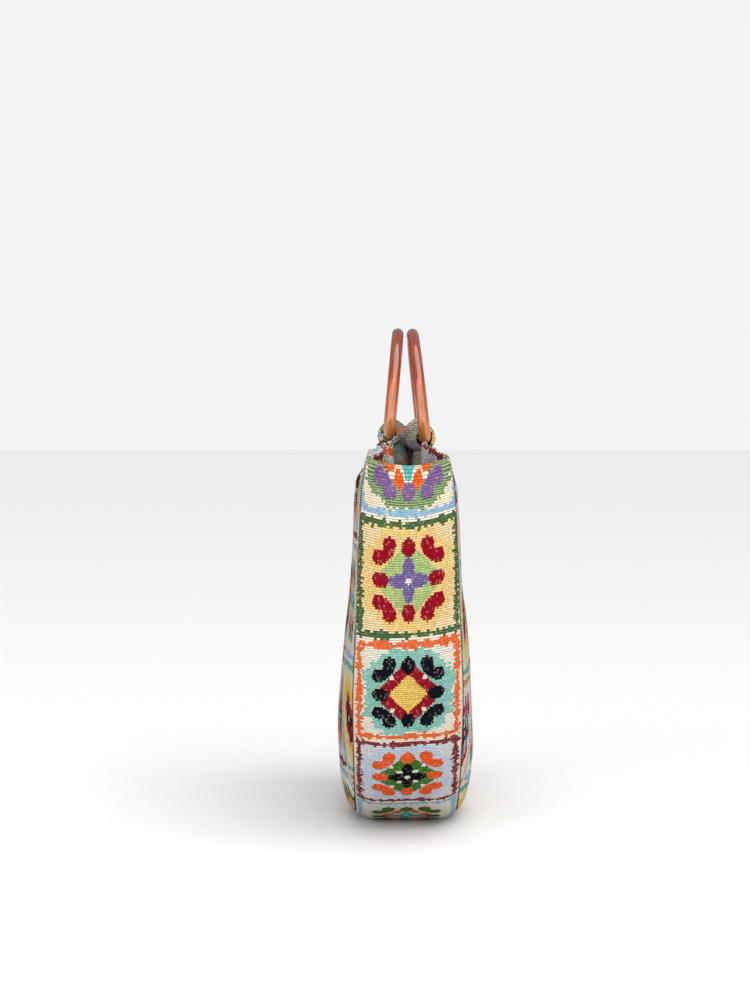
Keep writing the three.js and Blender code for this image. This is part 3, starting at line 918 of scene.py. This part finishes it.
def panel_mesh(side):
    """A panel's cloth with its casing: up the outside, over the bar and down to the sewn line."""

    def place(s, t):
        return panel_point(side, panel_share(s), 1 - (1 - t) ** 1.25)

    bm = shape_grid(CASING_SPANS + 2 * FREE_SPANS, PANEL_ROWS, place)
    turn = CASING_END - CASING_START
    sign = BARS[side]["sign"]
    loop_spans, hem_spans = 36, 10

    def place_casing(s, t):
        x = CASING_HALF * (2 * s - 1)
        step = t * (loop_spans + hem_spans)
        pattern = panel_point(side, x / SEAM_REACH, 1)[1]
        angle = CASING_START + turn * min(step / loop_spans, 1)
        under = max(step - loop_spans, 0) / hem_spans * CASING_HEM
        spot = casing_point(side, x, angle, under)
        pattern.y -= CASING_RADIUS * (angle - CASING_START) + under
        # Painted shade: the casing greys as it turns in past its top, into the mouth.
        painted_shade = MOUTH_SHADE_AMOUNT * smooth_step((angle - math.radians(80)) / math.radians(55))
        return spot, pattern, NO_SEAM, painted_shade

    fold_spans, flap_spans = 6, 12

    def place_hem(end, s, t):
        beyond = (SEAM_REACH - HEM_END - CASING_HALF) * s
        share = end * (CASING_HALF + beyond) / SEAM_REACH
        spot, pattern = panel_point(side, share, 1)[:2]
        step = t * (fold_spans + flap_spans)
        turned = math.pi * min(step / fold_spans, 1)
        under = max(step - fold_spans, 0) / flap_spans * FREE_HEM
        spot.y -= sign * (FOLD_RADIUS * (1 - math.cos(turned)) + 0.06 * under)
        spot.z += FOLD_RADIUS * math.sin(turned) - under
        pattern.y -= FOLD_RADIUS * turned + under
        return spot, pattern, NO_SEAM, 0.0

    parts = [shape_grid(CASING_SPANS, loop_spans + hem_spans, place_casing)]
    for end in (-1, 1):
        hem = shape_grid(FREE_SPANS - EDGE_SPANS, fold_spans + flap_spans, partial(place_hem, end))
        parts.append(hem)
    for part in parts:
        part_mesh = mesh_of(part, "panel_part")
        bm.from_mesh(part_mesh)
        bpy.data.meshes.remove(part_mesh)
    bmesh.ops.remove_doubles(bm, verts=bm.verts[:], dist=0.12 * MM)
    bmesh.ops.recalc_face_normals(bm, faces=bm.faces[:])
    point_outwards(bm, Vector((0, sign * 60, 90)) * MM)
    return mesh_of(bm, f"{side}_panel_cloth")


def strip_mesh():
    """The side strip's cloth."""

    def place(s, t):
        return strip_point(2 * OUTLINE_LENGTH * t, 2 * s - 1)

    bm = shape_grid(60, 420, place)
    bmesh.ops.recalc_face_normals(bm, faces=bm.faces[:])
    point_outwards(bm, Vector((HALF_WIDTH, 0, WIDEST_LEVEL)) * MM)
    return mesh_of(bm, "side_strip_cloth")


# Handles.


def handle_line(steps=200):
    """The rod's middle line, evenly spaced: a bar, two round corners and an arch."""
    top = HANDLE_HEIGHT - 2 * ROD_RADIUS
    fine = []
    for i in range(40):
        fine.append(((LIMB_OFFSET - HANDLE_CORNER) * (i / 20 - 1), 0))
    for i in range(12):
        angle = math.pi / 2 * i / 12
        fine.append((LIMB_OFFSET - HANDLE_CORNER * (1 - math.sin(angle)),
                     HANDLE_CORNER * (1 - math.cos(angle))))
    for i in range(241):
        angle = math.pi * i / 240
        across = abs(math.cos(angle)) ** (2 / ARCH_ROUNDNESS) * math.copysign(1, math.cos(angle))
        up = max(math.sin(angle), 0) ** (2 / ARCH_ROUNDNESS)
        fine.append((LIMB_OFFSET * across, HANDLE_CORNER + (top - HANDLE_CORNER) * up))
    for i in range(1, 12):
        angle = math.pi / 2 * (1 - i / 12)
        fine.append((-LIMB_OFFSET + HANDLE_CORNER * (1 - math.sin(angle)),
                     HANDLE_CORNER * (1 - math.cos(angle))))
    fine.append(fine[0])
    lengths = [0]
    for a, b in zip(fine, fine[1:]):
        lengths.append(lengths[-1] + math.dist(a, b))
    line = []
    k = 0
    for i in range(steps):
        target = lengths[-1] * i / steps
        while lengths[k + 1] < target:
            k += 1
        t = (target - lengths[k]) / (lengths[k + 1] - lengths[k])
        spot = Vector(fine[k]).lerp(Vector(fine[k + 1]), t)
        line.append(Vector((spot.x, 0, spot.y)))
    return line, lengths[-1]


def handle_mesh(side):
    """A round rod bent into a D ring, leaning and slanting as the frame's ring does."""
    line, total = handle_line()
    bar = BARS[side]
    lean = Matrix.Rotation(math.radians(HANDLE_LEANS[side]) * bar["sign"], 4, "X")
    slant = Matrix.Rotation(-math.atan(bar["rise"]), 4, "Y")
    stand = Matrix.Translation(Vector((0, bar["sign"] * bar["offset"], bar["level"])))
    whole = Matrix.Scale(MM, 4) @ stand @ slant @ lean
    curve = bpy.data.curves.new(f"{side}_rod_line", "CURVE")
    curve.dimensions = "3D"
    curve.bevel_depth = ROD_RADIUS
    curve.bevel_resolution = 7
    curve.use_fill_caps = False
    spline = curve.splines.new("POLY")
    spline.points.add(len(line) - 1)
    for point, spot in zip(spline.points, line):
        point.co = (*spot, 1)
    spline.use_cyclic_u = True
    carrier = bpy.data.objects.new(f"{side}_rod_line", curve)
    bpy.context.scene.collection.objects.link(carrier)
    mesh = bpy.data.meshes.new_from_object(carrier.evaluated_get(bpy.context.evaluated_depsgraph_get()))
    bpy.data.objects.remove(carrier)
    bpy.data.curves.remove(curve)
    bm = bmesh.new()
    bm.from_mesh(mesh)
    bmesh.ops.remove_doubles(bm, verts=bm.verts[:], dist=0.01)
    layer = bm.verts.layers.float_vector.new(ROD_MAP)
    rise = bm.verts.layers.float.new(ROD_RISE)
    for vert in bm.verts:
        nearest = min(range(len(line)), key=lambda i: (line[i] - vert.co).length_squared)
        outwards = vert.co - line[nearest]
        centre = Vector((0, 0, HANDLE_HEIGHT / 2))
        away = (line[nearest] - centre).normalized()
        vert[layer] = Vector((total * nearest / len(line), outwards.y, outwards.dot(away)))
        vert[rise] = vert.co.z
    bmesh.ops.transform(bm, matrix=whole, verts=bm.verts[:])
    bmesh.ops.recalc_face_normals(bm, faces=bm.faces[:])
    bm.to_mesh(mesh)
    bm.free()
    mesh.name = f"{side}_handle_rod"
    return mesh


# Stitches.


STITCH_RADIUS = 0.42
STITCH_SHARE = 0.42
STITCH_OUT = 0.35
CASING_STITCH_RISE = 0.9925
HEM_STITCH_RISE = 0.984
STRIP_STITCH_DROP = 5.5


def stitch_row(bm, spots):
    """Adds one stitch between each pair of spots, short of both."""
    for start, end in zip(spots, spots[1:]):
        run = end - start
        turn = run.to_track_quat("Z", "Y").to_matrix().to_4x4()
        long = run.length * STITCH_SHARE
        size = Matrix.Diagonal((STITCH_RADIUS, STITCH_RADIUS, long, 1))
        place = Matrix.Scale(MM, 4) @ Matrix.Translation((start + end) / 2) @ turn @ size
        bmesh.ops.create_uvsphere(bm, u_segments=6, v_segments=5, radius=1, matrix=place)


def evenly(count, low, high):
    return [low + (high - low) * i / count for i in range(count + 1)]


def casing_stitches_mesh(side):
    """The seam that closes the casing, just under it on the outside."""
    bm = bmesh.new()
    sign = BARS[side]["sign"]
    spots = []
    for x in evenly(40, -CASING_HALF + 1.5, CASING_HALF - 1.5):
        spot = panel_point(side, x / SEAM_REACH, CASING_STITCH_RISE)[0]
        spots.append(spot + Vector((0, sign * STITCH_OUT, 0)))
    stitch_row(bm, spots)
    return mesh_of(bm, f"{side}_casing_stitches")


def hem_stitches_mesh():
    """The seams along the panels' free edges and the strip's two ends."""
    bm = bmesh.new()
    for side in BARS:
        sign = BARS[side]["sign"]
        for end in (-1, 1):
            spots = []
            for x in evenly(34, CASING_HALF + 3, SEAM_REACH - 4):
                spot = panel_point(side, end * x / SEAM_REACH, HEM_STITCH_RISE)[0]
                spots.append(spot + Vector((0, sign * STITCH_OUT, 0.1)))
            stitch_row(bm, spots)
    for along in (STRIP_STITCH_DROP, 2 * OUTLINE_LENGTH - STRIP_STITCH_DROP):
        spots = []
        for across in evenly(18, -0.86, 0.86):
            spot = strip_point(along, across)[0]
            spots.append(spot + Vector((math.copysign(STITCH_OUT, spot.x), 0, 0)))
        stitch_row(bm, spots)
    return mesh_of(bm, "hem_stitches")


# Settings, operators and the panel.


class BagSettings(bpy.types.PropertyGroup):
    """What a user would change on the bag."""

    cloth_wall: bpy.props.FloatProperty(
        name="Cloth thickness", description="Thickness of the woven cloth",
        default=WALL * MM, unit="LENGTH")
    thread_colour: bpy.props.FloatVectorProperty(
        name="Thread", description="Colour of the sewing thread", subtype="COLOR", size=4,
        default=linear("#b99a78"))


class StageSettings(bpy.types.PropertyGroup):
    """Where the camera stands, and how bright the studio is."""

    camera_place: bpy.props.FloatVectorProperty(
        name="Camera", description="Place of the camera", subtype="TRANSLATION", size=3,
        default=(2.303, -0.0275, 0.354))
    camera_pitch: bpy.props.FloatProperty(
        name="Pitch", description="How far the camera looks down", subtype="ANGLE",
        default=math.radians(1.77))
    camera_lens: bpy.props.FloatProperty(
        name="Lens", description="Focal length for a 36 mm tall sensor", default=91.0, unit="CAMERA")
    front_power: bpy.props.FloatProperty(
        name="Softbox", description="Power of the wide softbox behind the camera", default=200.0,
        unit="POWER")
    ceiling_strength: bpy.props.FloatProperty(
        name="Ceiling", description="Strength of the light from above", default=2.35)
    room_light: bpy.props.FloatProperty(
        name="Room", description="Light that comes from all around", default=0.27)
    wall_light: bpy.props.FloatProperty(
        name="Wall", description="Brightness of the wall behind", default=0.90)


class BAG_OT_cloth(bpy.types.Operator):
    """Makes the two panels with their casings, and the side strip"""

    bl_idname = "bag.cloth"
    bl_label = "Cloth"

    def execute(self, context):
        wall = context.scene.bag_settings.cloth_wall
        face = woven_cloth("jacquard_cotton_face", False)
        back = woven_cloth("jacquard_cotton_reverse", True)
        for side in BARS:
            piece = new_piece(f"{side}_panel_cloth", panel_mesh(side), (face, back), "cloth_body",
                              [f"{side}_panel"])
            add_thickness(piece, wall)
        strip = new_piece("side_strip_cloth", strip_mesh(), (face, back), "cloth_body",
                          ["gusset"])
        add_thickness(strip, wall)
        return {"FINISHED"}


class BAG_OT_handles(bpy.types.Operator):
    """Makes the two bent wooden rods"""

    bl_idname = "bag.handles"
    bl_label = "Handles"

    def execute(self, context):
        wood = lacquered_wood()
        for side in BARS:
            new_piece(f"{side}_handle_rod", handle_mesh(side), (wood,), f"{side}_ring",
                      [f"{side}_handle"])
        return {"FINISHED"}


class BAG_OT_stitches(bpy.types.Operator):
    """Makes the rows of stitches at the casings and the hems"""

    bl_idname = "bag.stitches"
    bl_label = "Stitches"

    def execute(self, context):
        thread = sewing_thread("spun_polyester_thread", context.scene.bag_settings.thread_colour)
        for side in BARS:
            new_piece(f"{side}_casing_stitches", casing_stitches_mesh(side), (thread,),
                      "cloth_body")
        new_piece("hem_stitches", hem_stitches_mesh(), (thread,), "cloth_body")
        return {"FINISHED"}


def place_object(scene, data, location, turn):
    """Puts a lamp or a camera in the scene, under its own name."""
    made = bpy.data.objects.new(data.name, data)
    made.location = location
    made.rotation_euler = turn
    scene.collection.objects.link(made)
    return made


class BAG_OT_stage(bpy.types.Operator):
    """Makes the pale floor, the lights and the camera"""

    bl_idname = "bag.stage"
    bl_label = "Stage"

    def execute(self, context):
        scene = context.scene
        stage = scene.stage_settings
        paper = bpy.data.meshes.new("studio_floor")
        bm = bmesh.new()
        bmesh.ops.create_grid(bm, x_segments=1, y_segments=1, size=30)
        bm.to_mesh(paper)
        bm.free()
        floor = bpy.data.objects.new("studio_floor", paper)
        scene.collection.objects.link(floor)
        paper.materials.append(studio_paper())

        world = bpy.data.worlds.new("studio_air")
        scene.world = world
        world.use_nodes = True
        sky = world.node_tree.nodes["Background"]
        sky.inputs[0].default_value = (1, 1, 1, 1)
        # The hung paper behind is lit apart from the room.
        seen = world.node_tree.nodes.new("ShaderNodeLightPath").outputs["Is Camera Ray"]
        level = node(world.node_tree, "MapRange", (seen, 0.0, 1.0, stage.room_light, stage.wall_light))
        world.node_tree.links.new(level, sky.inputs[1])

        softbox = bpy.data.lights.new("front_softbox", "AREA")
        softbox.shape = "RECTANGLE"
        softbox.size = 9.0
        softbox.size_y = 4.4
        softbox.energy = stage.front_power
        place_object(scene, softbox, (3.6, -0.8, 1.8), (math.pi / 2, 0, math.pi / 2))

        ceiling = bpy.data.lights.new("ceiling_light", "SUN")
        ceiling.energy = stage.ceiling_strength
        ceiling.angle = math.radians(70)
        place_object(scene, ceiling, (0, 0, 0), (math.radians(-12), math.radians(14), 0))

        lens = bpy.data.cameras.new("photo_camera")
        lens.sensor_fit = "VERTICAL"
        lens.sensor_height = 36
        lens.lens = stage.camera_lens
        lens.clip_end = 200
        turn = (math.pi / 2 - stage.camera_pitch, 0, math.pi / 2)
        scene.camera = place_object(scene, lens, stage.camera_place, turn)
        scene.view_settings.view_transform = "Standard"
        return {"FINISHED"}


class BAG_PT_panel(bpy.types.Panel):
    """Lists the bag's steps and settings"""

    bl_idname = "BAG_PT_panel"
    bl_label = "Bag"
    bl_space_type = "VIEW_3D"
    bl_region_type = "UI"
    bl_category = "Bag"

    def draw(self, context):
        for group in (context.scene.bag_settings, context.scene.stage_settings):
            for name in group.__annotations__:
                self.layout.prop(group, name)
        for step in STEPS:
            self.layout.operator(step.bl_idname)


STEPS = (BAG_OT_stage, BAG_OT_cloth, BAG_OT_handles, BAG_OT_stitches)
CLASSES = (BagSettings, StageSettings, *STEPS, BAG_PT_panel)


def register():
    for entry in CLASSES:
        bpy.utils.register_class(entry)
    bpy.types.Scene.bag_settings = bpy.props.PointerProperty(type=BagSettings)
    bpy.types.Scene.stage_settings = bpy.props.PointerProperty(type=StageSettings)


def unregister():
    del bpy.types.Scene.bag_settings
    del bpy.types.Scene.stage_settings
    for entry in reversed(CLASSES):
        bpy.utils.unregister_class(entry)


def main():
    """Makes the whole bag and its stage."""
    register()
    bpy.ops.bag.stage()
    bpy.ops.bag.cloth()
    bpy.ops.bag.handles()
    bpy.ops.bag.stitches()


if __name__ == "__main__":
    main()
